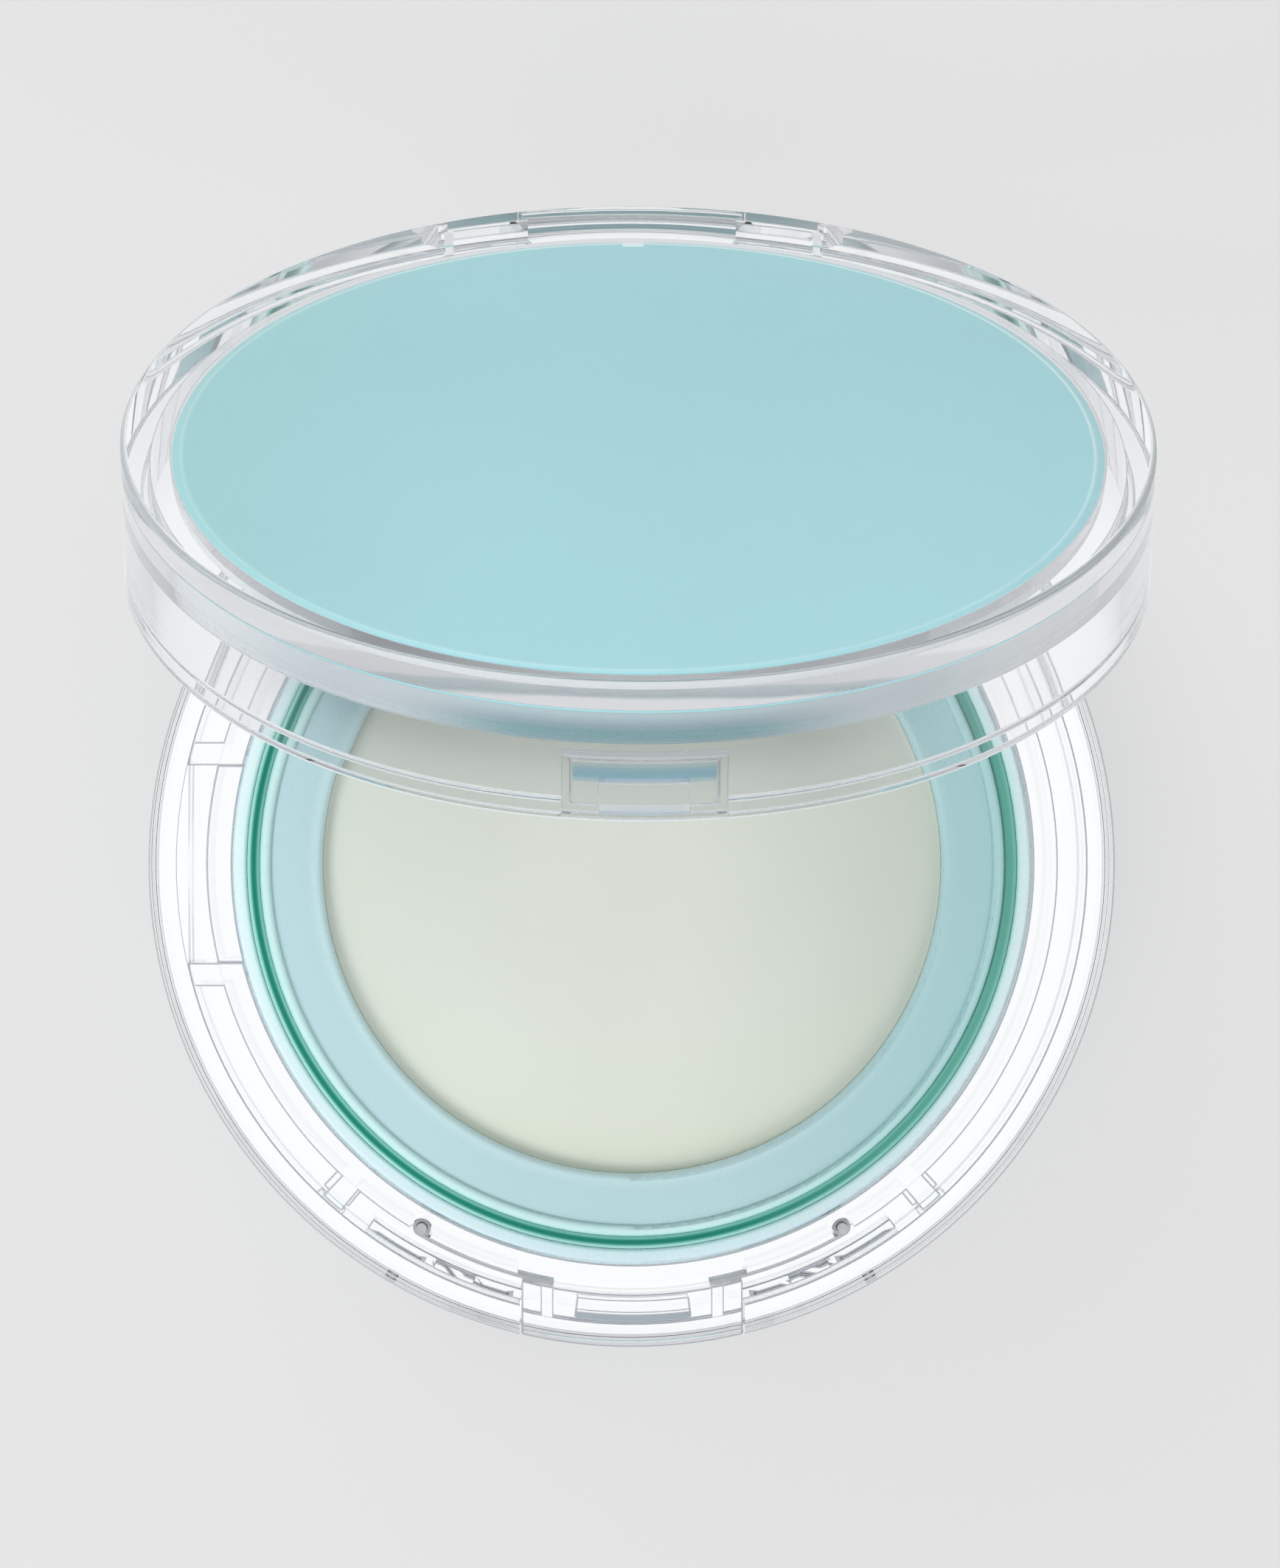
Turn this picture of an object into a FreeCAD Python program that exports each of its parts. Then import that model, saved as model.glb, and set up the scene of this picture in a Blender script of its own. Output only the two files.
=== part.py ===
import FreeCAD, Part
import math
import os

# A round flip-lid case of clear plastic: a shallow base that holds a refill cup with a pale cake,
# a front push button with a hook, and a hinged lid with a coloured disc and a mirror in it.
# Millimetres and degrees. Origin at the centre of the underside, +Z up, the button faces -Y,
# the hinge is at +Y. The lid is stored open, as it stands in use.

# Overall sizes
BODY_RADIUS = 38.0
BASE_HEIGHT = 12.0
LID_HEIGHT = 11.15
PARTING_GAP = 0.15
OPEN_ANGLE = 59.4

# Base shell
BASE_WALL = 2.3
BASE_FLOOR = 1.5
FOOT_FILLET = 1.2
RIM_FILLET = 0.35

# Deck ring inside the base: a wall with ribs, and open slots between it and the shell
SLOT_WIDTH = 2.2
DECK_WALL = 2.0
DECK_FIT = 0.1
DECK_FILLET = 0.2
DECK_FOOT_WIDTH = 0.4
DECK_FOOT_HEIGHT = 2.4
RIB_ANGLES = (41.5, 130.0)
RIB_WIDTH = 1.9
PRY_HALF_WIDTH = 7.75
PRY_DEPTH = 1.5
PRY_RIB = 1.85

# Refill: cup, seal, ring, tray and cake
CUP_CLEARANCE = 0.12
CUP_WALL = 1.1
CUP_FLOOR = 1.0
CUP_FILLET = 0.3
SEAL_GROOVE = 1.03
SEAL_CLEARANCE = 0.04
SEAL_DEPTH = 1.6
SEAL_RECESS = 0.08
RING_WIDTH = 4.92
RING_FLANGE = 1.0
RING_FIT = 0.08
RING_LIP_FILLET = 0.6
BEAD_WIDTH = 0.9
BEAD_HEIGHT = 0.4
TRAY_OVERLAP = 0.87
TRAY_GAUGE = 0.4
TRAY_FLANGE = 3.2
CAKE_CLEARANCE = 0.1
CAKE_RECESS = 1.3
CAKE_CROWN = 0.55
CAKE_EDGE_FILLET = 0.5

# Hinge
HINGE_INSET = 2.8
HINGE_DROP = 6.4
BARREL_RADIUS = 2.2
TONGUE_HALF_WIDTH = 7.3
TONGUE_BACKSET = 1.8
HINGE_SIDE_GAP = 0.2
SILL_GAP = 0.3
CHEEK_LENGTH = 4.7
PIN_RADIUS = 0.75
PIN_CLEARANCE = 0.05
PIN_SEAT = 3.2

# Latch button, its springs and the posts that carry them
BUTTON_HALF_WIDTH = 8.7
BUTTON_SIDE_GAP = 0.15
BUTTON_SILL = 3.0
BUTTON_TRAVEL = 0.8
BUTTON_TOP_DROP = 0.1
BAR_DEPTH = 1.9
BODY_DROP = 0.6
BODY_GAP = 0.4
BODY_RIB_HALF_WIDTH = 0.5
BODY_RIB_PLACE = 6.7
ARM_CLEARANCE = 0.15
ARM_END_ANGLE = 36.0
ARM_RAISE = 1.5
ARM_DROP = 2.5
ARM_PAD_ANGLE = 23.5
ARM_PAD_LENGTH = 3.5
ARM_PAD_RISE = 1.2
SPRING_THICKNESS = 0.25
SPRING_SEAT_GAP = 0.03
SPRING_LAP = 2.5
POST_RADIUS = 0.42
POST_ANGLE = 30.0
POST_SEAT = 0.8
POST_DROP = 1.0
EYE_CLEARANCE = 0.03
EYE_POCKET_GAP = 0.2
RELIEF_GAP = 0.3

# Hook on the button and catch in the lid
HOOK_HALF_WIDTH = 4.45
HOOK_STEM = 1.0
HOOK_TAB_GAP = 0.2
BARB_REACH = 0.7
BARB_HEIGHT = 0.9
BARB_LEAD = 0.55
CATCH_HALF_WIDTH = 5.75
CATCH_HEIGHT = 5.0
CATCH_DEPTH = 1.3
CATCH_FIT = 0.05
CATCH_FRAME = 0.65
CATCH_RECESS = 0.45
TAB_HALF_WIDTH = 3.1
TAB_HEIGHT = 2.4
TAB_REACH = 0.75
TAB_LEAD = 0.4
CATCH_CLEARANCE = 0.15

# Lid shell, disc, frame, tape and mirror
LID_TOP = 3.5
LID_TOP_FILLET = 0.5
LID_RIM_FILLET = 0.25
SKIRT_WALL = 2.1
SKIRT_STEP_HEIGHT = 1.0
SKIRT_STEP_WIDTH = 0.6
LEDGE_WIDTH = 1.5
DISC_CLEARANCE = 0.1
DISC_THICKNESS = 1.7
DISC_BEVEL_WIDTH = 0.7
DISC_BEVEL_HEIGHT = 0.25
KEY_HALF_WIDTH = 0.85
KEY_DEPTH = 0.6
KEY_CLEARANCE = 0.08
TICK_PLACE = 14.0
TICK_WIDTH = 0.7
TICK_HEIGHT = 3.2
TICK_LENGTH = 2.2
FRAME_HEIGHT = 1.2
FRAME_WIDTH = 3.15
FRAME_FILLET = 0.25
MIRROR_CLEARANCE = 0.15
MIRROR_THICKNESS = 1.0
MIRROR_BEVEL = 0.2
TAPE_THICKNESS = 0.2
TAPE_MARGIN = 1.0

# Radii that follow from the sizes above, from the outside in
SHELL_INNER = BODY_RADIUS - BASE_WALL
DECK_OUTER = SHELL_INNER - SLOT_WIDTH
DECK_BORE = DECK_OUTER - DECK_WALL
CUP_OUTER = DECK_BORE - CUP_CLEARANCE
CUP_INNER = CUP_OUTER - CUP_WALL
RING_OUTER = CUP_INNER - SEAL_GROOVE
RING_BORE = RING_OUTER - RING_WIDTH
TRAY_INNER = RING_BORE + TRAY_OVERLAP
SKIRT_INNER = BODY_RADIUS - SKIRT_WALL
DISC_SEAT = SKIRT_INNER - LEDGE_WIDTH
DISC_RADIUS = DISC_SEAT - DISC_CLEARANCE
FRAME_OUTER = DISC_RADIUS
FRAME_BORE = FRAME_OUTER - FRAME_WIDTH
MIRROR_RADIUS = FRAME_BORE - MIRROR_CLEARANCE
BODY_BACK = DECK_OUTER + BODY_GAP
TAB_INNER = SKIRT_INNER - TAB_REACH
STEM_OUTER = TAB_INNER - HOOK_TAB_GAP
STEM_INNER = STEM_OUTER - HOOK_STEM
SPRING_OUTER = BODY_BACK - SPRING_SEAT_GAP
SPRING_INNER = SPRING_OUTER - SPRING_THICKNESS
EYE_OUTER = POST_RADIUS + EYE_CLEARANCE + SPRING_THICKNESS
EYE_PLACE = SPRING_OUTER - EYE_OUTER
ARM_OUTER = SHELL_INNER - ARM_CLEARANCE
ARM_INNER = SPRING_OUTER + BUTTON_TRAVEL

# Heights that follow, with the lid taken as closed
RIM = BASE_HEIGHT
LID_LOW = RIM + PARTING_GAP
LID_HIGH = LID_LOW + LID_HEIGHT
DISC_HIGH = LID_HIGH - LID_TOP
DISC_LOW = DISC_HIGH - DISC_THICKNESS
FRAME_LOW = DISC_LOW - FRAME_HEIGHT
MIRROR_HIGH = DISC_LOW - TAPE_THICKNESS
CUP_FLOOR_HIGH = BASE_FLOOR + CUP_FLOOR
SEAL_LOW = RIM - SEAL_DEPTH
RING_LOW = SEAL_LOW - RING_FLANGE
TRAY_FLOOR_HIGH = CUP_FLOOR_HIGH + TRAY_GAUGE
TRAY_RIM_LOW = RING_LOW - TRAY_GAUGE
CAKE_EDGE = RIM - CAKE_RECESS
HINGE_Y = BODY_RADIUS - HINGE_INSET
HINGE_Z = RIM - HINGE_DROP
SILL = HINGE_Z - BARREL_RADIUS - SILL_GAP
NOTCH_HALF_WIDTH = TONGUE_HALF_WIDTH + HINGE_SIDE_GAP
NOTCH_FRONT = HINGE_Y - BARREL_RADIUS - HINGE_SIDE_GAP
BUTTON_LOW = BUTTON_SILL + BUTTON_SIDE_GAP
BUTTON_HIGH = RIM - BUTTON_TOP_DROP
BODY_HIGH = BUTTON_HIGH - BODY_DROP
ARM_LOW = BUTTON_LOW + ARM_RAISE
ARM_HIGH = RIM - ARM_DROP
TAB_HIGH = LID_LOW + TAB_HEIGHT
BARB_LOW = TAB_HIGH + CATCH_CLEARANCE
HOOK_HIGH = BARB_LOW + BARB_HEIGHT

# Working values for cuts: a cutter passes its face by OVERCUT and reaches past the whole body
OVERCUT = 1.0
FAR = 2 * BODY_RADIUS
FRONT = -90.0
AXIS_Z = FreeCAD.Vector(0, 0, 1)
AXIS_X = FreeCAD.Vector(1, 0, 0)
ORIGIN = FreeCAD.Vector(0, 0, 0)


def profile_point(radius, height):
    return FreeCAD.Vector(radius, 0, height)


def corner_arc(before, corner, after, fillet):
    """Start, middle and end of the arc that rounds one corner of an outline."""
    to_before = (before - corner).normalize()
    to_after = (after - corner).normalize()
    half_angle = to_before.getAngle(to_after) / 2
    bisector = (to_before + to_after).normalize()
    reach = fillet / math.tan(half_angle)
    middle = corner + bisector * (fillet / math.sin(half_angle) - fillet)
    return corner + to_before * reach, middle, corner + to_after * reach


def outline_face(outline):
    """Face in the XZ plane from (radius, height) or (radius, height, fillet) corners."""
    corners = [profile_point(corner[0], corner[1]) for corner in outline]
    fillets = [corner[2] if len(corner) > 2 else 0 for corner in outline]
    count = len(corners)
    spans = []
    for place in range(count):
        if fillets[place] > 0:
            before = corners[place - 1]
            after = corners[(place + 1) % count]
            spans.append(corner_arc(before, corners[place], after, fillets[place]))
        else:
            spans.append((corners[place],))
    edges = []
    for place in range(count):
        span = spans[place]
        if len(span) == 3:
            edges.append(Part.Arc(*span).toShape())
        edges.append(Part.LineSegment(span[-1], spans[(place + 1) % count][0]).toShape())
    return Part.Face(Part.Wire(edges))


def lathe(outline):
    """Solid of revolution about the Z axis."""
    return outline_face(outline).revolve(ORIGIN, AXIS_Z, 360)


def tube(inner, outer, low, high):
    return lathe([(inner, low), (outer, low), (outer, high), (inner, high)])


def ring_sector(inner, outer, low, high, start_angle, end_angle):
    """Part of a ring between two angles, counted from the front of the case."""
    face = outline_face([(inner, low), (outer, low), (outer, high), (inner, high)])
    face.rotate(ORIGIN, AXIS_Z, FRONT + start_angle)
    return face.revolve(ORIGIN, AXIS_Z, end_angle - start_angle)


def block(low_corner, high_corner):
    low = FreeCAD.Vector(*low_corner)
    high = FreeCAD.Vector(*high_corner)
    size = high - low
    return Part.makeBox(size.x, size.y, size.z, low)


def front_block(half_width, low, high):
    """Block that takes in the front half of the case, for trimming pieces to a width."""
    return block((-half_width, -FAR, low), (half_width, 0, high))


def post(radius, low, high, place_radius, angle):
    """Upright cylinder at a place counted from the front of the case."""
    turn = math.radians(FRONT + angle)
    base = FreeCAD.Vector(place_radius * math.cos(turn), place_radius * math.sin(turn), low)
    return Part.makeCylinder(radius, high - low, base, AXIS_Z)


def cross_rod(radius, left, right):
    """Cylinder along X on the hinge axis."""
    return Part.makeCylinder(radius, right - left, FreeCAD.Vector(left, HINGE_Y, HINGE_Z), AXIS_X)


def fuse(first, *others):
    return first.fuse(list(others)).removeSplitter()


def cut(first, *others):
    return first.cut(list(others)).removeSplitter()


def both_sides(make):
    """The two mirrored copies of a piece that is made from its angle's sign."""
    return [make(side) for side in (-1, 1)]


def opened(shape):
    """The lid's pieces are drawn closed and swung open about the hinge axis."""
    turned = shape.copy()
    turned.rotate(FreeCAD.Vector(0, HINGE_Y, HINGE_Z), AXIS_X, -OPEN_ANGLE)
    return turned


def hinge_notch():
    """Room in the base's back wall for the lid's tongue."""
    low_corner = (-NOTCH_HALF_WIDTH, NOTCH_FRONT, SILL)
    return block(low_corner, (NOTCH_HALF_WIDTH, FAR, RIM + OVERCUT))


def rim_relief():
    """Back of the rim, rounded about the hinge axis so that the lid's skirt can swing past."""
    back = block((-FAR, HINGE_Y, HINGE_Z), (FAR, FAR, RIM + OVERCUT))
    return back.cut(cross_rod(HINGE_DROP, -FAR, FAR))


def base_shell():
    shell = lathe([
        (0, 0),
        (BODY_RADIUS, 0, FOOT_FILLET),
        (BODY_RADIUS, RIM, RIM_FILLET),
        (SHELL_INNER, RIM),
        (SHELL_INNER, BASE_FLOOR),
        (0, BASE_FLOOR),
    ])
    cheek_inner = DECK_OUTER + DECK_FOOT_WIDTH + DECK_FIT
    cheek_ring = tube(cheek_inner, SHELL_INNER + BASE_WALL / 2, BASE_FLOOR / 2, RIM)
    cheek_half_width = NOTCH_HALF_WIDTH + CHEEK_LENGTH
    cheeks = cheek_ring.common(block((-cheek_half_width, 0, 0), (cheek_half_width, FAR, RIM)))
    flat_place = math.sqrt(SHELL_INNER ** 2 - PRY_HALF_WIDTH ** 2)
    flat_rod = Part.makeCylinder(SHELL_INNER + BASE_WALL / 2, RIM - BASE_FLOOR / 2,
                                 FreeCAD.Vector(0, 0, BASE_FLOOR / 2))
    flat = flat_rod.common(block((-FAR, -PRY_HALF_WIDTH, 0), (-flat_place, PRY_HALF_WIDTH, RIM)))
    button_half_width = BUTTON_HALF_WIDTH + BUTTON_SIDE_GAP
    button_notch = block((-button_half_width, -FAR, BUTTON_SILL),
                         (button_half_width, -BODY_BACK, RIM + OVERCUT))
    button_notch = button_notch.common(tube(DECK_OUTER, FAR, BUTTON_SILL, RIM + OVERCUT))
    post_holes = both_sides(lambda side: post(POST_RADIUS, BASE_FLOOR - POST_SEAT,
                                              BASE_FLOOR + OVERCUT, EYE_PLACE, side * POST_ANGLE))
    pin_hole = cross_rod(PIN_RADIUS, -NOTCH_HALF_WIDTH - PIN_SEAT, BODY_RADIUS)
    solid = fuse(shell, cheeks, flat)
    return cut(solid, hinge_notch(), rim_relief(), button_notch, pin_hole, *post_holes)


def deck_ring():
    wall = lathe([
        (DECK_BORE, BASE_FLOOR),
        (DECK_OUTER + DECK_FOOT_WIDTH, BASE_FLOOR),
        (DECK_OUTER + DECK_FOOT_WIDTH, BASE_FLOOR + DECK_FOOT_HEIGHT),
        (DECK_OUTER, BASE_FLOOR + DECK_FOOT_HEIGHT),
        (DECK_OUTER, RIM),
        (DECK_BORE, RIM, DECK_FILLET),
    ])
    rib_outer = SHELL_INNER - DECK_FIT
    rib_inner = DECK_OUTER - DECK_WALL / 2
    rib_half_angle = math.degrees(RIB_WIDTH / 2 / SHELL_INNER)
    foot_half_angle = math.degrees((RIB_WIDTH / 2 + DECK_FOOT_WIDTH) / SHELL_INNER)
    ribs = []
    for angle in RIB_ANGLES:
        for side in (-1, 1):
            middle = side * angle
            ribs.append(ring_sector(rib_inner, rib_outer, BASE_FLOOR, RIM,
                                    middle - rib_half_angle, middle + rib_half_angle))
            ribs.append(ring_sector(rib_inner, rib_outer, BASE_FLOOR, BASE_FLOOR + DECK_FOOT_HEIGHT,
                                    middle - foot_half_angle, middle + foot_half_angle))
    rib_ring = tube(rib_inner, rib_outer, BASE_FLOOR, RIM)
    for side in (-1, 1):
        near, far = sorted((side * PRY_HALF_WIDTH, side * (PRY_HALF_WIDTH + PRY_RIB)))
        ribs.append(rib_ring.common(block((-FAR, near, BASE_FLOOR), (0, far, RIM))))
    pry_cut = block((-FAR, -PRY_HALF_WIDTH, RIM - PRY_DEPTH), (0, PRY_HALF_WIDTH, RIM + OVERCUT))
    relief_inner = BODY_BACK - BUTTON_TRAVEL - RELIEF_GAP
    relief = tube(relief_inner, FAR, 0, RIM + OVERCUT)
    relief = relief.common(front_block(BUTTON_HALF_WIDTH + RELIEF_GAP, 0, RIM + OVERCUT))
    eye_pockets = both_sides(lambda side: post(EYE_OUTER + EYE_POCKET_GAP, 0, RIM + OVERCUT,
                                               EYE_PLACE, side * POST_ANGLE))
    back_notch = block((-NOTCH_HALF_WIDTH, NOTCH_FRONT, 0), (NOTCH_HALF_WIDTH, FAR, RIM + OVERCUT))
    solid = fuse(wall, *ribs)
    return cut(solid, pry_cut, relief, back_notch, *eye_pockets)


def pan_cup():
    return lathe([
        (0, BASE_FLOOR),
        (CUP_OUTER, BASE_FLOOR, CUP_FILLET),
        (CUP_OUTER, RIM, CUP_FILLET),
        (CUP_INNER, RIM, CUP_FILLET),
        (CUP_INNER, CUP_FLOOR_HIGH),
        (0, CUP_FLOOR_HIGH),
    ])


def seal_ring():
    inner = RING_OUTER + SEAL_CLEARANCE
    outer = CUP_INNER - SEAL_CLEARANCE
    crown = (outer - inner) * 0.45
    high = RIM - SEAL_RECESS
    return lathe([(inner, SEAL_LOW), (outer, SEAL_LOW), (outer, high, crown), (inner, high, crown)])


def pan_ring():
    bead_inner = RING_OUTER - BEAD_WIDTH
    bead_fillet = min(BEAD_HEIGHT, BEAD_WIDTH / 2) * 0.95
    return lathe([
        (RING_BORE, RING_LOW),
        (CUP_INNER - RING_FIT, RING_LOW),
        (CUP_INNER - RING_FIT, SEAL_LOW),
        (RING_OUTER, SEAL_LOW),
        (RING_OUTER, RIM + BEAD_HEIGHT, bead_fillet),
        (bead_inner, RIM + BEAD_HEIGHT, bead_fillet),
        (bead_inner, RIM),
        (RING_BORE, RIM, RING_LIP_FILLET),
    ])


def pan_tray():
    flange_outer = TRAY_INNER + TRAY_FLANGE
    return lathe([
        (0, CUP_FLOOR_HIGH),
        (TRAY_INNER + TRAY_GAUGE, CUP_FLOOR_HIGH, TRAY_GAUGE),
        (TRAY_INNER + TRAY_GAUGE, TRAY_RIM_LOW),
        (flange_outer, TRAY_RIM_LOW),
        (flange_outer, RING_LOW),
        (TRAY_INNER, RING_LOW),
        (TRAY_INNER, TRAY_FLOOR_HIGH),
        (0, TRAY_FLOOR_HIGH),
    ])


def cream_cake():
    """Poured cake: it fills the tray, stands up through the ring's bore and is slightly crowned."""
    edge_radius = RING_BORE - CAKE_CLEARANCE
    body_radius = TRAY_INNER - CAKE_CLEARANCE
    body_high = RING_LOW - CAKE_CLEARANCE
    crown_high = CAKE_EDGE + CAKE_CROWN
    shoulder = profile_point(edge_radius - CAKE_EDGE_FILLET, CAKE_EDGE)
    edge_start = profile_point(edge_radius, CAKE_EDGE - CAKE_EDGE_FILLET)
    turn = CAKE_EDGE_FILLET * math.sqrt(0.5)
    edge_middle = profile_point(edge_radius - CAKE_EDGE_FILLET + turn, CAKE_EDGE - CAKE_EDGE_FILLET + turn)
    top = profile_point(0, crown_high)
    crown_radius = (shoulder.x ** 2 + CAKE_CROWN ** 2) / (2 * CAKE_CROWN)
    crown_drop = crown_radius - math.sqrt(crown_radius ** 2 - (shoulder.x / 2) ** 2)
    half_way = profile_point(shoulder.x / 2, crown_high - crown_drop)
    low_points = [
        top,
        profile_point(0, TRAY_FLOOR_HIGH),
        profile_point(body_radius, TRAY_FLOOR_HIGH),
        profile_point(body_radius, body_high),
        profile_point(edge_radius, body_high),
        edge_start,
    ]
    edges = [Part.LineSegment(low, high).toShape() for low, high in zip(low_points, low_points[1:])]
    edges.append(Part.Arc(edge_start, edge_middle, shoulder).toShape())
    edges.append(Part.Arc(shoulder, half_way, top).toShape())
    return Part.Face(Part.Wire(edges)).revolve(ORIGIN, AXIS_Z, 360)


def spring_posts():
    posts = both_sides(lambda side: post(POST_RADIUS, BASE_FLOOR - POST_SEAT, RIM - POST_DROP,
                                         EYE_PLACE, side * POST_ANGLE))
    return Part.makeCompound(posts)


def latch_springs():
    """Steel leaves: an eye on the post, and a strip that bears on the back of the button."""
    tip_angle = math.degrees(math.asin((BUTTON_HALF_WIDTH - SPRING_LAP) / SPRING_OUTER))

    def leaf(side):
        start, end = sorted((side * tip_angle, side * POST_ANGLE))
        strip = ring_sector(SPRING_INNER, SPRING_OUTER, ARM_LOW, ARM_HIGH, start, end)
        eye = post(EYE_OUTER, ARM_LOW, ARM_HIGH, EYE_PLACE, side * POST_ANGLE)
        hole = post(EYE_OUTER - SPRING_THICKNESS, 0, RIM + OVERCUT, EYE_PLACE, side * POST_ANGLE)
        return cut(fuse(strip, eye), hole)

    return Part.makeCompound(both_sides(leaf))


def hinge_pin():
    end = NOTCH_HALF_WIDTH + PIN_SEAT
    return cross_rod(PIN_RADIUS, -end, end)


def latch_button():
    width = front_block(BUTTON_HALF_WIDTH, 0, RIM + OVERCUT)
    bar_inner = BODY_RADIUS - BAR_DEPTH
    bar = tube(bar_inner, BODY_RADIUS, BUTTON_LOW, BUTTON_HIGH).common(width)
    body = tube(BODY_BACK, bar_inner + BAR_DEPTH / 2, BUTTON_LOW, BODY_HIGH).common(width)
    rib_ring = tube(BODY_BACK, bar_inner + BAR_DEPTH / 2, BUTTON_LOW, BUTTON_HIGH)

    def body_rib(side):
        near, far = sorted((side * BODY_RIB_PLACE - BODY_RIB_HALF_WIDTH,
                            side * BODY_RIB_PLACE + BODY_RIB_HALF_WIDTH))
        return rib_ring.common(block((near, -FAR, BUTTON_LOW), (far, 0, BUTTON_HIGH)))

    def arm(side):
        start, end = sorted((0, side * ARM_END_ANGLE))
        return ring_sector(ARM_INNER, ARM_OUTER, ARM_LOW, ARM_HIGH, start, end)

    def arm_pad(side):
        half_angle = math.degrees(ARM_PAD_LENGTH / 2 / ARM_OUTER)
        middle = side * ARM_PAD_ANGLE
        return ring_sector(ARM_INNER, ARM_OUTER, ARM_LOW, ARM_HIGH + ARM_PAD_RISE,
                           middle - half_angle, middle + half_angle)

    hook = lathe([
        (STEM_INNER, BODY_HIGH - BODY_DROP),
        (STEM_OUTER, BODY_HIGH - BODY_DROP),
        (STEM_OUTER, BARB_LOW),
        (STEM_OUTER + BARB_REACH, BARB_LOW),
        (STEM_OUTER + BARB_REACH, HOOK_HIGH - BARB_LEAD),
        (STEM_OUTER + BARB_REACH - BARB_LEAD, HOOK_HIGH),
        (STEM_INNER, HOOK_HIGH),
    ]).common(front_block(HOOK_HALF_WIDTH, 0, HOOK_HIGH))
    extras = both_sides(body_rib) + both_sides(arm) + both_sides(arm_pad)
    return fuse(bar, body, hook, *extras)


def lid_shell():
    shell = lathe([
        (SKIRT_INNER + SKIRT_STEP_WIDTH, LID_LOW),
        (BODY_RADIUS, LID_LOW, LID_RIM_FILLET),
        (BODY_RADIUS, LID_HIGH, LID_TOP_FILLET),
        (0, LID_HIGH),
        (0, DISC_HIGH),
        (DISC_SEAT, DISC_HIGH),
        (DISC_SEAT, FRAME_LOW),
        (SKIRT_INNER, FRAME_LOW),
        (SKIRT_INNER, LID_LOW + SKIRT_STEP_HEIGHT),
        (SKIRT_INNER + SKIRT_STEP_WIDTH, LID_LOW + SKIRT_STEP_HEIGHT),
    ])
    tongue = block((-TONGUE_HALF_WIDTH, HINGE_Y - TONGUE_BACKSET, HINGE_Z),
                   (TONGUE_HALF_WIDTH, HINGE_Y + BARREL_RADIUS, DISC_LOW + DISC_THICKNESS / 2))
    tongue = tongue.common(tube(DISC_SEAT - LEDGE_WIDTH, BODY_RADIUS - LID_RIM_FILLET, 0, LID_HIGH))
    barrel = cross_rod(BARREL_RADIUS, -TONGUE_HALF_WIDTH, TONGUE_HALF_WIDTH)
    tongue = cut(tongue, Part.makeCylinder(DISC_SEAT, LID_HEIGHT, FreeCAD.Vector(0, 0, FRAME_LOW)))
    bore = cross_rod(PIN_RADIUS + PIN_CLEARANCE, -FAR, FAR)
    key = block((-KEY_HALF_WIDTH, DISC_SEAT - KEY_DEPTH, DISC_LOW),
                (KEY_HALF_WIDTH, DISC_SEAT + LEDGE_WIDTH / 2, DISC_HIGH + LID_TOP / 2))
    pocket = tube(SKIRT_INNER - OVERCUT, SKIRT_INNER + CATCH_DEPTH, LID_LOW - OVERCUT,
                  LID_LOW + CATCH_HEIGHT)
    pocket = pocket.common(front_block(CATCH_HALF_WIDTH, 0, LID_HIGH))
    tick_ring = tube(SKIRT_INNER - LEDGE_WIDTH / 2, SKIRT_INNER - LEDGE_WIDTH / 2 + TICK_LENGTH,
                     FRAME_LOW - OVERCUT, DISC_LOW + TICK_HEIGHT)

    def tick(side):
        near, far = sorted((side * TICK_PLACE, side * (TICK_PLACE + TICK_WIDTH)))
        return tick_ring.common(block((near, 0, 0), (far, FAR, LID_HIGH)))

    return opened(cut(fuse(shell, tongue, barrel, key), bore, pocket, *both_sides(tick)))


def lid_disc():
    disc = lathe([
        (0, DISC_LOW),
        (DISC_RADIUS, DISC_LOW),
        (DISC_RADIUS, DISC_HIGH - DISC_BEVEL_HEIGHT),
        (DISC_RADIUS - DISC_BEVEL_WIDTH, DISC_HIGH),
        (0, DISC_HIGH),
    ])
    key_room = block(
        (-KEY_HALF_WIDTH - KEY_CLEARANCE, DISC_SEAT - KEY_DEPTH - KEY_CLEARANCE, DISC_LOW - OVERCUT),
        (KEY_HALF_WIDTH + KEY_CLEARANCE, FAR, LID_HIGH))
    return opened(cut(disc, key_room))


def mirror_frame():
    return opened(lathe([
        (FRAME_BORE, FRAME_LOW, FRAME_FILLET),
        (FRAME_OUTER, FRAME_LOW, FRAME_FILLET),
        (FRAME_OUTER, DISC_LOW),
        (FRAME_BORE, DISC_LOW),
    ]))


def mirror_tape():
    tape = Part.makeCylinder(MIRROR_RADIUS - TAPE_MARGIN, TAPE_THICKNESS,
                             FreeCAD.Vector(0, 0, MIRROR_HIGH))
    return opened(tape)


def mirror():
    glass_low = MIRROR_HIGH - MIRROR_THICKNESS
    return opened(lathe([
        (0, glass_low),
        (MIRROR_RADIUS - MIRROR_BEVEL, glass_low),
        (MIRROR_RADIUS, glass_low + MIRROR_BEVEL),
        (MIRROR_RADIUS, MIRROR_HIGH),
        (0, MIRROR_HIGH),
    ]))


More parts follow.
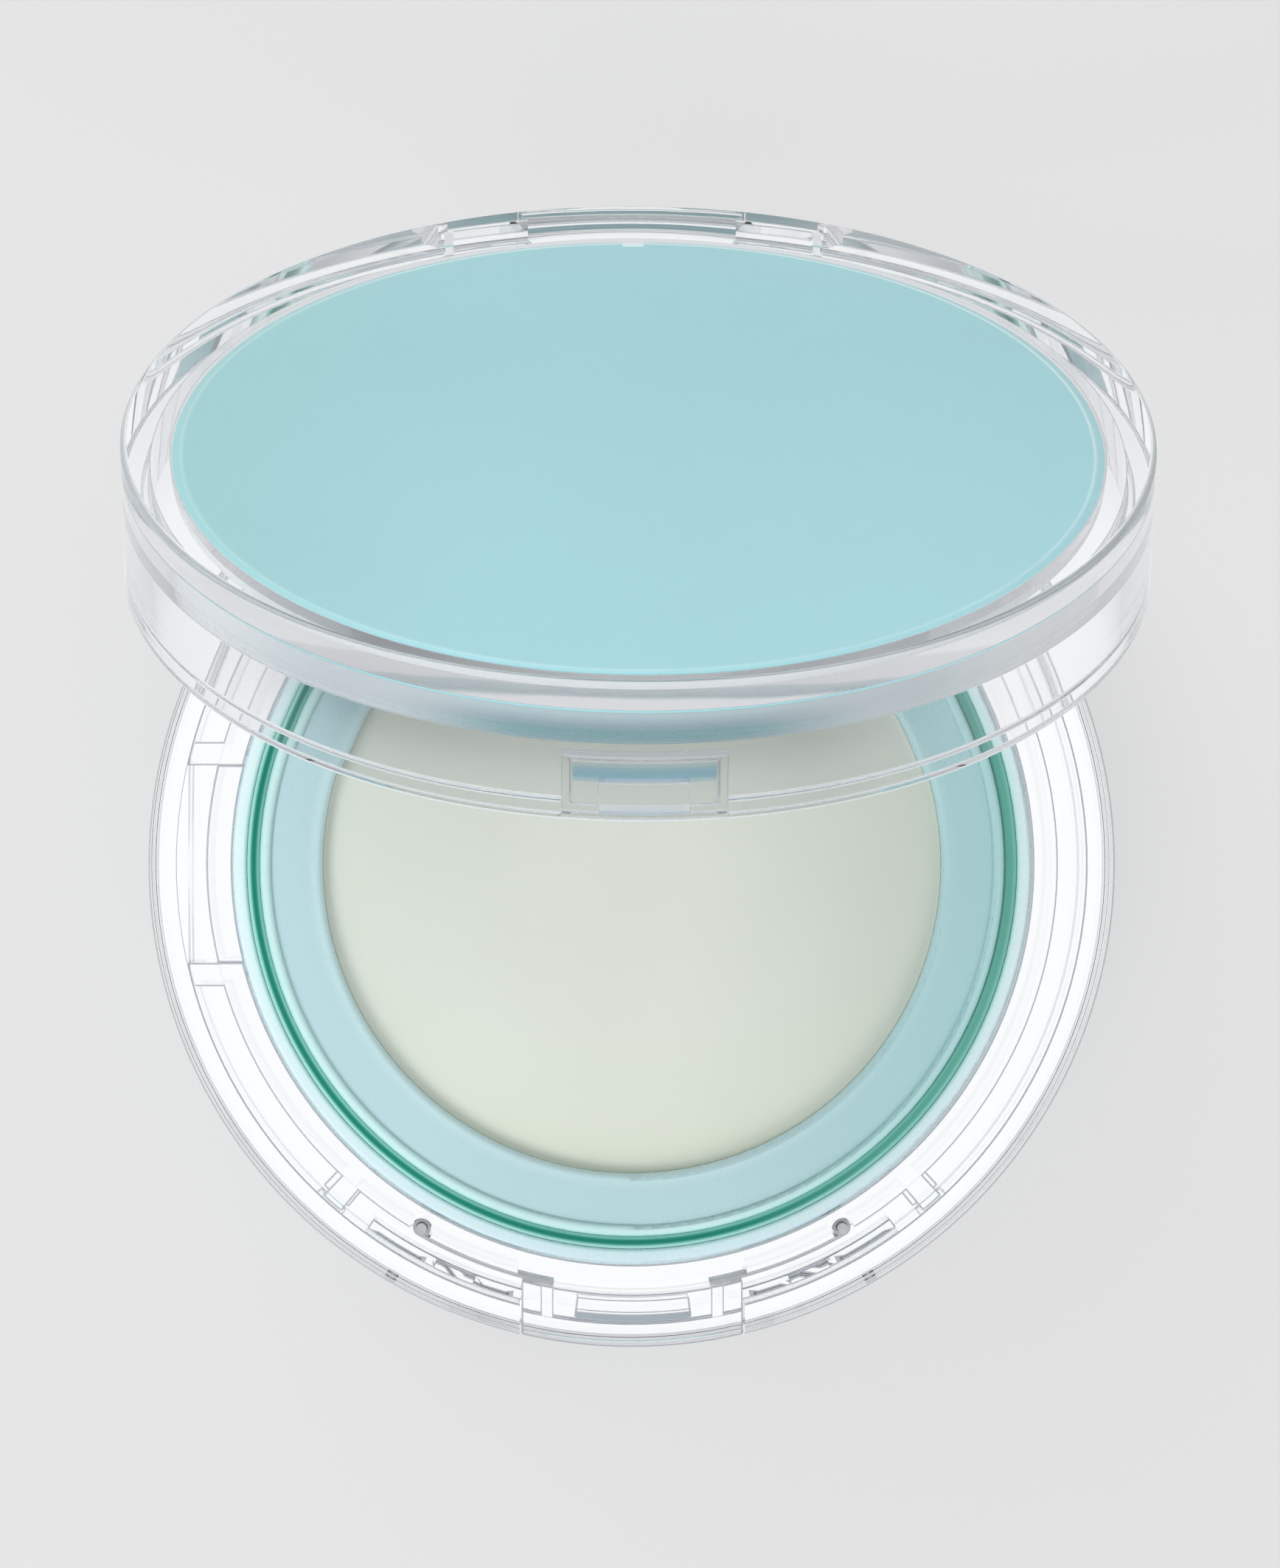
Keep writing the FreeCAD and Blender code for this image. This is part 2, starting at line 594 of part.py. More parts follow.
def catch_plate():
    """Insert in the skirt's front: a framed window with the tab that the hook holds."""
    half_width = CATCH_HALF_WIDTH - CATCH_FIT
    outer = SKIRT_INNER + CATCH_DEPTH - CATCH_FIT
    high = LID_LOW + CATCH_HEIGHT - CATCH_FIT
    plate = tube(SKIRT_INNER, outer, LID_LOW, high).common(front_block(half_width, 0, LID_HIGH))
    window = tube(SKIRT_INNER - OVERCUT, SKIRT_INNER + CATCH_RECESS, LID_LOW + CATCH_FRAME,
                  high - CATCH_FRAME).common(front_block(half_width - CATCH_FRAME, 0, LID_HIGH))
    tab_outer = SKIRT_INNER + CATCH_RECESS + CATCH_FIT
    tab = lathe([
        (TAB_INNER + TAB_LEAD, LID_LOW),
        (tab_outer, LID_LOW),
        (tab_outer, TAB_HIGH),
        (TAB_INNER, TAB_HIGH),
        (TAB_INNER, LID_LOW + TAB_LEAD),
    ]).common(front_block(TAB_HALF_WIDTH, 0, LID_HIGH))
    return opened(fuse(cut(plate, window), tab))


PIECES = (
    base_shell, deck_ring, pan_cup, seal_ring, pan_ring, pan_tray, cream_cake, spring_posts,
    latch_springs, hinge_pin, latch_button, lid_shell, lid_disc, mirror_frame, mirror_tape, mirror,
    catch_plate,
)

os.makedirs("parts", exist_ok=True)
for make_piece in PIECES:
    shape = make_piece()
    shape.exportStep("parts/" + make_piece.__name__ + ".step")
    print(make_piece.__name__, len(shape.Solids), "solids", shape.isValid(), round(shape.Volume, 1), "mm3")
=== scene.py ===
import math

import bpy
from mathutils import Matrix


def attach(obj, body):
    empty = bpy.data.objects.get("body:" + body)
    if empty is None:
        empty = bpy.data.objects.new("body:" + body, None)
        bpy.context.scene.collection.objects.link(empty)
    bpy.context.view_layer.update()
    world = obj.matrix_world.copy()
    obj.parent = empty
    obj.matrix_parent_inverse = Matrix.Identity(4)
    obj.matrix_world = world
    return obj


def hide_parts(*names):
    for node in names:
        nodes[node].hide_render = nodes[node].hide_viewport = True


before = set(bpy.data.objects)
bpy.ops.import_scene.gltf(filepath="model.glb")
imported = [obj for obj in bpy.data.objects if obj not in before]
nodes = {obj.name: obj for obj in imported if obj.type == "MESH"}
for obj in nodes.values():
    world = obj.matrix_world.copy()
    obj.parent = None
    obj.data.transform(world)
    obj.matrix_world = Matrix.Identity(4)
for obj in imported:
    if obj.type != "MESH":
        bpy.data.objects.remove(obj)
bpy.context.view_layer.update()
scene = bpy.context.scene

# Sizes are in millimetres and are counted with the lid shut
MM = 0.001
HINGE_Y = 35.2
HINGE_Z = 5.6
HINGE = (0.0, HINGE_Y * MM, HINGE_Z * MM)
OPEN_ANGLE = math.radians(59.4)
OUTSIDE = 38.0
LID_FOOT = 12.15
LID_TOP = 23.3
SKIRT_INSIDE = 35.9
DISC_SEAT = 34.4
BASE_TOP = 12.0
WALL_INSIDE = 35.7
DECK_INSIDE = 31.5
DECK_OUTSIDE = 33.5
POST_RING = 33.17
POST_TURN = math.radians(30.0)
HALF_PRY_NOTCH = 7.75
HALF_HINGE_NOTCH = 7.5
HINGE_NOTCH_INSIDE = 32.8

# Limits of the shapes that cut a piece or keep a part of it, all outside the case
FAR = 60.0
FARTHER = 80.0
HIGH = 30.0
ABOVE_BASE = 13.0

# Fineness of turned, swept and rounded shapes. Sweeps are counted in degrees
TURN_STEPS = 192
SWEEP_STEP = 1.5
CORNER_STEPS = 5
ROD_SIDES = 64

# Edges sharper than the first angle are rounded, and faces that meet below the second look smooth
EASED_ANGLE = math.radians(50.0)
SMOOTH_ANGLE = math.radians(35.0)

# Points nearer than this are one point, in metres
ONE_POINT = 1e-6

# A face is upright if its normal rises less than the first, and level if it rises more than the second
UPRIGHT = 0.12
LEVEL = 0.96

# Order of a clear piece's materials, after the plain one
EDGE = 1
WALL = 2
TOP_RIM = 3

# How strongly clear plastic bends light, the usual span of noise, and the end tones of a mask
PLASTIC_IOR = 1.49
NOISE_SPAN = (0.3, 0.7)
BLACK = (0.0, 0.0, 0.0)
WHITE = (1.0, 1.0, 1.0)


# Small tools for building materials
def new_material(name):
    material = bpy.data.materials.new(name)
    material.use_nodes = True
    tree = material.node_tree
    tree.nodes.clear()
    return material, tree


def add_node(tree, kind, **settings):
    node = tree.nodes.new(kind)
    for key, value in settings.items():
        setattr(node, key, value)
    return node


def join(tree, start, start_socket, end, end_socket):
    tree.links.new(start.outputs[start_socket], end.inputs[end_socket])


def grain(tree, scale, detail):
    """Noise that is fixed to the piece."""
    place = add_node(tree, "ShaderNodeTexCoord")
    noise = add_node(tree, "ShaderNodeTexNoise")
    noise.inputs["Scale"].default_value = scale
    noise.inputs["Detail"].default_value = detail
    join(tree, place, "Object", noise, "Vector")
    return noise


def ranged(tree, source, socket, low, high):
    """Noise spread between two values."""
    spread = add_node(tree, "ShaderNodeMapRange")
    spread.inputs["From Min"].default_value = NOISE_SPAN[0]
    spread.inputs["From Max"].default_value = NOISE_SPAN[1]
    spread.inputs["To Min"].default_value = low
    spread.inputs["To Max"].default_value = high
    join(tree, source, socket, spread, "Value")
    return spread


def two_tone(tree, source, socket, low, high):
    """Noise turned into two close tones."""
    ramp = add_node(tree, "ShaderNodeValToRGB")
    ramp.color_ramp.elements[0].position = 0.35
    ramp.color_ramp.elements[0].color = (*low, 1.0)
    ramp.color_ramp.elements[1].position = 0.65
    ramp.color_ramp.elements[1].color = (*high, 1.0)
    join(tree, source, socket, ramp, "Fac")
    return ramp


def rough_skin(tree, source, socket, strength, distance):
    """Noise turned into a fine unevenness."""
    bump = add_node(tree, "ShaderNodeBump")
    bump.inputs["Strength"].default_value = strength
    bump.inputs["Distance"].default_value = distance
    join(tree, source, socket, bump, "Height")
    return bump


def either_ray(tree, path, first, second):
    """One for light of either kind, and nought for the rest."""
    either = add_node(tree, "ShaderNodeMath", operation="MAXIMUM")
    join(tree, path, first, either, 0)
    join(tree, path, second, either, 1)
    return either


def mixed(tree, share, socket, first, second):
    """The first shader where the share is nought, and the second where it is one."""
    mix = add_node(tree, "ShaderNodeMixShader")
    join(tree, share, socket, mix, 0)
    join(tree, first, 0, mix, 1)
    join(tree, second, 0, mix, 2)
    return mix


def close_material(tree, shader):
    out = add_node(tree, "ShaderNodeOutputMaterial")
    join(tree, shader, 0, out, "Surface")


def see_through(name, tint, clearness, scale, detail, haze_low, haze_high, shade):
    """Clear body with slightly uneven haze. Lamps and scattered light pass straight through, by a shade."""
    material, tree = new_material(name)
    body = add_node(tree, "ShaderNodeBsdfPrincipled")
    body.inputs["Base Color"].default_value = (*tint, 1.0)
    body.inputs["Transmission Weight"].default_value = clearness
    body.inputs["IOR"].default_value = PLASTIC_IOR
    waves = grain(tree, scale, detail)
    haze = ranged(tree, waves, "Fac", haze_low, haze_high)
    join(tree, haze, "Result", body, "Roughness")
    passing = add_node(tree, "ShaderNodeBsdfTransparent")
    passing.inputs["Color"].default_value = (*shade, 1.0)
    path = add_node(tree, "ShaderNodeLightPath")
    either = either_ray(tree, path, "Is Shadow Ray", "Is Diffuse Ray")
    close_material(tree, mixed(tree, either, "Value", body, passing))
    return material, tree, body, waves


# Clear moulded plastic, with slow flow waves from the mould
def clear_plastic(name, tint, wave):
    shade = (0.97, 0.975, 0.975)
    material, tree, body, waves = see_through(name, tint, 1.0, 90.0, 1.5, 0.0, 0.03, shade)
    ripple = rough_skin(tree, waves, "Fac", wave, 0.0004)
    join(tree, ripple, "Normal", body, "Normal")
    return material, tree, body


# Rounded edges of the clear pieces, hazier than their faces, with a tint that paints the lines at their
# edges
def clear_edge(name, tint):
    shade = (0.95, 0.955, 0.96)
    return see_through(name, tint, 0.55, 400.0, 2.0, 0.10, 0.16, shade)[0]


# Places on the case, and in the lid as it is when closed
def case_place(tree, forward=0.0):
    """Place on the case, or counted from a point that many millimetres in front of its axis."""
    place = add_node(tree, "ShaderNodeTexCoord")
    shift = add_node(tree, "ShaderNodeMapping")
    shift.inputs["Location"].default_value = (0.0, forward * MM, 0.0)
    join(tree, place, "Object", shift, "Vector")
    split = add_node(tree, "ShaderNodeSeparateXYZ")
    join(tree, shift, "Vector", split, "Vector")
    return split


def lid_place(tree, forward=0.0):
    """Place in the shut lid, or counted from a point that many millimetres in front of its axis."""
    place = add_node(tree, "ShaderNodeTexCoord")
    shut = add_node(tree, "ShaderNodeMapping")
    turn_y = HINGE[1] * math.cos(OPEN_ANGLE) - HINGE[2] * math.sin(OPEN_ANGLE)
    turn_z = HINGE[1] * math.sin(OPEN_ANGLE) + HINGE[2] * math.cos(OPEN_ANGLE)
    shut.inputs["Rotation"].default_value = (OPEN_ANGLE, 0.0, 0.0)
    shut.inputs["Location"].default_value = (0.0, HINGE[1] - turn_y + forward * MM, HINGE[2] - turn_z)
    join(tree, place, "Object", shut, "Vector")
    split = add_node(tree, "ShaderNodeSeparateXYZ")
    join(tree, shut, "Vector", split, "Vector")
    return split


def banded_colour(tree, source, socket, stops):
    """Colour that changes with one distance, from (millimetres, colour) stops."""
    first = stops[0][0]
    last = stops[-1][0]
    spread = add_node(tree, "ShaderNodeMapRange")
    spread.inputs["From Min"].default_value = first * MM
    spread.inputs["From Max"].default_value = last * MM
    join(tree, source, socket, spread, "Value")
    ramp = add_node(tree, "ShaderNodeValToRGB")
    points = ramp.color_ramp.elements
    points[0].color = (*stops[0][1], 1.0)
    points[1].color = (*stops[-1][1], 1.0)
    for away, colour in stops[1:-1]:
        point = points.new((away - first) / (last - first))
        point.color = (*colour, 1.0)
    join(tree, spread, "Result", ramp, "Fac")
    return ramp


def ringed_colour(tree, place, stops):
    """Colour that changes with the distance from the axis."""
    flat = add_node(tree, "ShaderNodeCombineXYZ")
    join(tree, place, "X", flat, "X")
    join(tree, place, "Y", flat, "Y")
    far = add_node(tree, "ShaderNodeVectorMath", operation="LENGTH")
    join(tree, flat, "Vector", far, 0)
    return banded_colour(tree, far, "Value", stops)


def plain_colour(tree, tone):
    node = add_node(tree, "ShaderNodeRGB")
    node.outputs[0].default_value = (*tone, 1.0)
    return node


def colour_out(node):
    return node.outputs[2 if node.type == "MIX" else 0]


def toned(tree, colour, place, axis, low, high, tone, most):
    """Another tone that comes in along one axis, from low to high in millimetres."""
    rise = add_node(tree, "ShaderNodeMapRange", interpolation_type="SMOOTHSTEP")
    rise.inputs["From Min"].default_value = low * MM
    rise.inputs["From Max"].default_value = high * MM
    rise.inputs["To Max"].default_value = most
    join(tree, place, axis, rise, "Value")
    blend = add_node(tree, "ShaderNodeMix", data_type="RGBA")
    tree.links.new(rise.outputs["Result"], blend.inputs[0])
    tree.links.new(colour_out(colour), blend.inputs[6])
    blend.inputs[7].default_value = (*tone, 1.0)
    return blend


def covered(tree, colour, share, other):
    """One colour laid over another by a black and white share."""
    blend = add_node(tree, "ShaderNodeMix", data_type="RGBA")
    tree.links.new(colour_out(share), blend.inputs[0])
    tree.links.new(colour_out(colour), blend.inputs[6])
    tree.links.new(colour_out(other), blend.inputs[7])
    return blend


def painted_side_shade(tree, place, stops):
    """Bands of painted shade at the front of the lid that turn grey and then pale at its left and right."""
    grey = (0.56, 0.61, 0.64)
    colour = banded_colour(tree, place, "Z", stops)
    colour = toned(tree, colour, place, "X", 5.0, 17.0, grey, 0.9)
    colour = toned(tree, colour, place, "X", -7.0, -19.0, grey, 0.9)
    colour = toned(tree, colour, place, "X", 17.0, 29.0, (0.86, 0.88, 0.89), 1.0)
    return toned(tree, colour, place, "X", -21.0, -32.0, (0.80, 0.83, 0.85), 1.0)


def clouded(tree, colour, scale, low):
    """Slow uneven depth of colour."""
    cloud = grain(tree, scale, 2.0)
    depth = ranged(tree, cloud, "Fac", low, 1.0)
    blend = add_node(tree, "ShaderNodeMix", data_type="RGBA", blend_type="MULTIPLY")
    blend.inputs[0].default_value = 1.0
    tree.links.new(colour_out(colour), blend.inputs[6])
    tree.links.new(depth.outputs["Result"], blend.inputs[7])
    return blend


def plastic_body(tree, colour, gloss_low, gloss_high, skin, shine=0.5):
    """Moulded body with a fine satin skin."""
    body = add_node(tree, "ShaderNodeBsdfPrincipled")
    body.inputs["Specular IOR Level"].default_value = shine
    tree.links.new(colour_out(colour), body.inputs["Base Color"])
    fine = grain(tree, 2600.0, 4.0)
    gloss = ranged(tree, fine, "Fac", gloss_low, gloss_high)
    join(tree, gloss, "Result", body, "Roughness")
    pores = rough_skin(tree, fine, "Fac", skin, 0.00004)
    join(tree, pores, "Normal", body, "Normal")
    close_material(tree, body)


# Aqua disc of the lid: brighter towards the front as painted light, with a painted highlight as a bright
# line near its edge, another painted highlight as a bright mark at its key, and a grey-blue side in bands
# of painted shade
def aqua_disc():
    material, tree = new_material("aqua_disc_look")
    place = lid_place(tree)
    face = (0.335, 0.725, 0.78)
    # The bright line near the edge is a painted highlight
    line = (0.76, 0.98, 0.99)
    colour = ringed_colour(tree, place, [
        (0.0, face), (33.36, face), (33.42, line), (33.62, line), (33.68, (0.35, 0.74, 0.79)),
        (34.3, (0.37, 0.75, 0.80))])
    # Painted light: brighter towards the front
    colour = toned(tree, colour, place, "Y", 30.0, -34.0, (0.46, 0.87, 0.94), 0.75)
    colour = toned(tree, colour, place, "X", -8.0, -34.0, (0.345, 0.73, 0.72), 0.55)
    # Painted highlight: a bright mark at the key
    mark = banded_colour(tree, place, "Y", [(32.95, BLACK), (33.05, WHITE), (34.0, WHITE)])
    for way in (1, -1):
        mark = toned(tree, mark, place, "X", way * 0.78, way * 0.86, BLACK, 1.0)
    colour = covered(tree, colour, mark, plain_colour(tree, (0.80, 1.0, 1.0)))
    # Painted shade in bands on the disc's side
    side = ringed_colour(tree, place, [(34.2, BLACK), (34.28, WHITE)])
    bands = painted_side_shade(tree, place, [
        (18.1, (0.18, 0.33, 0.36)), (18.48, (0.25, 0.35, 0.39)), (18.85, (0.33, 0.43, 0.47)),
        (19.23, (0.40, 0.515, 0.555)), (19.6, (0.44, 0.55, 0.57)), (19.8, (0.58, 0.67, 0.69))])
    colour = covered(tree, colour, side, bands)
    colour = clouded(tree, colour, 45.0, 0.97)
    plastic_body(tree, colour, 0.3, 0.4, 0.1)
    return material


# Frame of the mirror in painted shade: dark teal at the front, grey and then pale at both sides
def aqua_frame():
    material, tree = new_material("aqua_frame_look")
    place = lid_place(tree)
    colour = painted_side_shade(tree, place, [(16.9, (0.19, 0.36, 0.38)), (18.1, (0.16, 0.32, 0.345))])
    colour = clouded(tree, colour, 60.0, 0.95)
    plastic_body(tree, colour, 0.25, 0.35, 0.1)
    return material


# Pale cup, whose rim goes from mint at the seal to a cool edge of painted shade, with painted shade towards
# the front
def aqua_cup():
    material, tree = new_material("aqua_cup_look")
    place = case_place(tree)
    # The cool outer edge of the rim is painted shade
    colour = ringed_colour(tree, place, [
        (29.0, (0.50, 0.70, 0.72)), (30.3, (0.42, 0.72, 0.69)), (30.55, (0.60, 0.82, 0.81)),
        (31.0, (0.68, 0.84, 0.86)), (31.2, (0.66, 0.80, 0.85)), (31.4, (0.55, 0.66, 0.74))])
    # Painted shade: bluer and darker towards the front
    colour = toned(tree, colour, place, "Y", -5.0, -31.0, (0.52, 0.69, 0.76), 0.5)
    colour = toned(tree, colour, place, "Z", 11.5, 10.9, (0.46, 0.74, 0.78), 1.0)
    colour = clouded(tree, colour, 45.0, 0.96)
    plastic_body(tree, colour, 0.2, 0.3, 0.1)
    return material


# Flat aqua ring: paler at the left and greener at the right by painted shade, lighter at its inner lip,
# with a painted highlight on the mint bead and painted shade in the line at its foot
def aqua_ring():
    material, tree = new_material("aqua_ring_look")
    place = case_place(tree)
    flat = (0.445, 0.64, 0.675)
    # The mint bead is a painted highlight, and the line at its foot is painted shade
    colour = ringed_colour(tree, place, [
        (24.3, (0.56, 0.74, 0.75)), (24.9, (0.50, 0.70, 0.73)), (25.6, flat), (28.1, flat),
        (28.32, (0.44, 0.66, 0.67)), (28.5, (0.47, 0.70, 0.70)), (28.85, (0.54, 0.77, 0.77)),
        (29.1, (0.46, 0.74, 0.71)), (29.3, (0.36, 0.66, 0.62))])
    # Painted shade: greener and darker towards the right
    colour = toned(tree, colour, place, "X", 4.0, 27.0, (0.33, 0.58, 0.60), 0.55)
    colour = clouded(tree, colour, 45.0, 0.96)
    plastic_body(tree, colour, 0.25, 0.35, 0.04)
    return material


# Teal seal: a dark line in its middle, with painted light making it mint at its edges and lighter at the
# right
def teal_seal():
    material, tree = new_material("teal_seal_look")
    place = case_place(tree)
    colour = ringed_colour(tree, place, [
        (29.26, (0.40, 0.70, 0.66)), (29.44, (0.22, 0.56, 0.50)), (29.58, (0.02, 0.24, 0.18)),
        (29.74, (0.004, 0.17, 0.12)), (29.90, (0.02, 0.24, 0.18)), (30.06, (0.28, 0.60, 0.55)),
        (30.27, (0.47, 0.76, 0.73))])
    # Painted light: lighter towards the right
    colour = toned(tree, colour, place, "X", 5.0, 29.0, (0.16, 0.46, 0.38), 0.7)
    colour = clouded(tree, colour, 60.0, 0.9)
    plastic_body(tree, colour, 0.4, 0.55, 0.2, 0.25)
    return material


# Poured cake: pale mint cream, with painted shade that makes it deeper and yellower towards its edge, and
# most at the right
def cream_cake():
    material, tree = new_material("cream_cake_look")
    place = case_place(tree)
    middle = (0.725, 0.765, 0.70)
    # Painted shade: deeper and yellower towards the edge
    colour = ringed_colour(tree, place, [
        (0.0, middle), (16.0, middle), (21.5, (0.70, 0.745, 0.67)), (23.6, (0.66, 0.71, 0.63)),
        (24.35, (0.60, 0.69, 0.61))])
    # Painted shade: darker towards the right and the left, and yellower towards the front
    colour = toned(tree, colour, place, "X", 2.0, 23.0, (0.54, 0.59, 0.53), 0.6)
    colour = toned(tree, colour, place, "X", -4.0, -23.0, (0.62, 0.67, 0.61), 0.5)
    colour = toned(tree, colour, place, "Y", -8.0, -24.0, (0.66, 0.71, 0.58), 0.4)
    colour = clouded(tree, colour, 60.0, 0.965)
    plastic_body(tree, colour, 0.42, 0.55, 0.25, 0.4)
    return material


# White tape, hidden between disc and mirror
def plain_tape():
    material, tree = new_material("tape_look")
    place = lid_place(tree)
    colour = ringed_colour(tree, place, [(0.0, (0.72, 0.72, 0.70)), (31.0, (0.70, 0.70, 0.68))])
    colour = clouded(tree, colour, 200.0, 0.94)
    plastic_body(tree, colour, 0.7, 0.8, 0.2)
    return material


# Bare metal with fine drawn grain
def bright_metal(name, low, high, gloss_low, gloss_high):
    material, tree = new_material(name)
    body = add_node(tree, "ShaderNodeBsdfPrincipled")
    body.inputs["Metallic"].default_value = 1.0
    drawn = grain(tree, 1500.0, 4.0)
    colour = two_tone(tree, drawn, "Fac", low, high)
    join(tree, colour, "Color", body, "Base Color")
    gloss = ranged(tree, drawn, "Fac", gloss_low, gloss_high)
    join(tree, gloss, "Result", body, "Roughness")
    close_material(tree, body)
    return material


# Clear lid with painted shade: a grey tint in its thick front rim, fading to clear at the back and both
# sides.
# The rim is seen at a slant, so its rings are counted from a point in front of the axis
def shaded_lid():
    plain = (0.975, 0.98, 0.985)
    dark = (0.54, 0.58, 0.60)
    rim = (0.76, 0.79, 0.80)
    material, tree, body = clear_plastic("clear_lid_look", plain, 0.03)
    slant = 2.45
    place = lid_place(tree, slant)
    colour = ringed_colour(tree, place, [
        (34.25, plain), (34.4, dark), (35.3, dark), (36.1, rim), (41.0, rim)])
    colour = toned(tree, colour, place, "Y", -22.0, -8.0, plain, 1.0)
    colour = toned(tree, colour, place, "X", 11.0, 24.0, plain, 1.0)
    colour = toned(tree, colour, place, "X", -14.0, -27.0, plain, 1.0)
    tree.links.new(colour_out(colour), body.inputs["Base Color"])
    return material


# Front wall of the lid in painted shade: greyest below the disc and lighter towards both sides
def shaded_wall():
    upper = (0.79, 0.80, 0.815)
    grey = (0.62, 0.625, 0.63)
    left = (0.93, 0.935, 0.945)
    right = (0.985, 0.985, 0.99)
    material, tree, body = clear_plastic("clear_wall_look", upper, 0.03)
    place = lid_place(tree)
    colour = banded_colour(tree, place, "Z", [
        (12.0, (0.80, 0.805, 0.81)), (14.0, (0.82, 0.825, 0.83)), (15.5, (0.76, 0.765, 0.77)),
        (17.0, (0.66, 0.665, 0.67)), (17.8, grey), (18.5, grey), (18.8, upper), (23.4, upper)])
    colour = toned(tree, colour, place, "X", 10.0, 22.0, right, 1.0)
    colour = toned(tree, colour, place, "X", -18.0, -31.0, left, 1.0)
    tree.links.new(colour_out(colour), body.inputs["Base Color"])
    return material


# Clear catch, with a painted reflection of the disc: a blue band at the top of its window
def catch_painted_reflection():
    plain = (0.95, 0.955, 0.96)
    material, tree, body = clear_plastic("clear_catch_look", plain, 0.03)
    place = lid_place(tree)
    # Painted reflection of the disc: a blue band at the top of the window
    colour = banded_colour(tree, place, "Z", [
        (12.0, plain), (15.05, plain), (15.12, (0.38, 0.72, 0.92)), (15.6, (0.36, 0.66, 0.84)),
        (16.2, (0.55, 0.80, 0.95)), (16.32, plain), (17.2, plain)])
    for way in (1, -1):
        colour = toned(tree, colour, place, "X", way * 4.85, way * 5.0, plain, 1.0)
    tree.links.new(colour_out(colour), body.inputs["Base Color"])
    return material


def dress(name, material):
    piece = nodes[name]
    for slot in piece.material_slots:
        slot.material = material


clear = clear_plastic("clear_plastic_look", (0.98, 0.985, 0.99), 0.02)[0]
lid_clear = shaded_lid()
lid_wall = shaded_wall()
catch_clear = catch_painted_reflection()
# Edge tints: the grey ones are painted shade, the pale one a painted highlight
edge_look = clear_edge("clear_edge_look", (0.36, 0.38, 0.42))
pale_edge_painted_highlight = clear_edge("clear_pale_edge_look", (0.84, 0.86, 0.89))
rim_edge_painted_shade = clear_edge("clear_rim_edge_look", (0.66, 0.70, 0.72))
seal_look = teal_seal()
cake_look = cream_cake()

# Solids that are shown as they are
steel_look = bright_metal("spring_steel_look", (0.46, 0.47, 0.49), (0.56, 0.57, 0.59), 0.25, 0.4)
dress("latch_springs", steel_look)
dress("spring_posts", steel_look)
dress("hinge_pin", bright_metal("pin_steel_look", (0.66, 0.67, 0.69), (0.74, 0.75, 0.77), 0.2, 0.35))
dress("pan_tray", bright_metal("tray_aluminium_look", (0.80, 0.80, 0.81), (0.86, 0.86, 0.87), 0.3, 0.4))
dress("mirror", bright_metal("mirror_glass_look", (0.90, 0.91, 0.91), (0.92, 0.93, 0.93), 0.01, 0.03))
dress("lid_disc", aqua_disc())
dress("mirror_frame", aqua_frame())
dress("pan_cup", aqua_cup())
dress("pan_ring", aqua_ring())
dress("mirror_tape", plain_tape())


# Modelling tools
def take(piece):
    bpy.ops.object.select_all(action="DESELECT")
    piece.select_set(True)
    bpy.context.view_layer.objects.active = piece


def work_on(piece):
    take(piece)
    bpy.ops.object.mode_set(mode="EDIT")
    bpy.ops.mesh.select_mode(type="VERT")
    bpy.ops.mesh.select_all(action="SELECT")


def put_down():
    bpy.ops.object.mode_set(mode="OBJECT")


def pick_point(piece, place):
    """Only the point at one place is picked."""
    put_down()
    mesh = piece.data
    for face in mesh.polygons:
        face.select = False
    for edge in mesh.edges:
        edge.select = False
    for point in mesh.vertices:
        point.select = math.dist(point.co, place) < ONE_POINT
    bpy.ops.object.mode_set(mode="EDIT")


def drawn_outline(name, corners):
    """Outline in the XZ plane from corners of (radius, height) or (radius, height, rounding)."""
    bpy.ops.object.select_all(action="DESELECT")
    bpy.ops.mesh.primitive_plane_add(size=MM)
    piece = bpy.context.object
    piece.name = name
    work_on(piece)
    bpy.ops.mesh.merge(type="CENTER")
    bpy.ops.transform.translate(value=(corners[0][0] * MM, 0.0, corners[0][1] * MM))
    for here, there in zip(corners, corners[1:]):
        step = ((there[0] - here[0]) * MM, 0.0, (there[1] - here[1]) * MM)
        bpy.ops.mesh.extrude_region_move(TRANSFORM_OT_translate={"value": step})
    bpy.ops.mesh.select_all(action="SELECT")
    bpy.ops.mesh.edge_face_add()
    for corner in corners:
        if len(corner) > 2:
            pick_point(piece, (corner[0] * MM, 0.0, corner[1] * MM))
            bpy.ops.mesh.bevel(
                offset_type="OFFSET", offset=corner[2] * MM, segments=CORNER_STEPS, affect="VERTICES")
    bpy.ops.mesh.select_all(action="SELECT")
    return piece


def closed_up(piece):
    """Piece with doubled points merged, loose ones deleted and all faces turned outwards."""
    bpy.ops.mesh.select_all(action="SELECT")
    bpy.ops.mesh.remove_doubles(threshold=ONE_POINT)
    bpy.ops.mesh.delete_loose()
    bpy.ops.mesh.select_all(action="SELECT")
    bpy.ops.mesh.normals_make_consistent(inside=False)
    put_down()
    return piece


def turned(name, corners):
    """Outline spun all the way round the case's axis."""
    piece = drawn_outline(name, corners)
    bpy.ops.mesh.delete(type="ONLY_FACE")
    bpy.ops.mesh.select_all(action="SELECT")
    bpy.ops.mesh.spin(steps=TURN_STEPS, angle=2 * math.pi, center=(0, 0, 0), axis=(0, 0, 1))
    return closed_up(piece)


def swept(name, corners, start, end, steps=0):
    """Outline swept between two angles in degrees, counted from the front towards the right."""
    piece = drawn_outline(name, corners)
    bpy.ops.transform.rotate(value=math.radians(90.0 - start), orient_axis="Z", center_override=(0, 0, 0))
    steps = steps or max(2, round(abs(end - start) / SWEEP_STEP))
    bpy.ops.mesh.spin(steps=steps, angle=-math.radians(end - start), center=(0, 0, 0), axis=(0, 0, 1))
    return closed_up(piece)


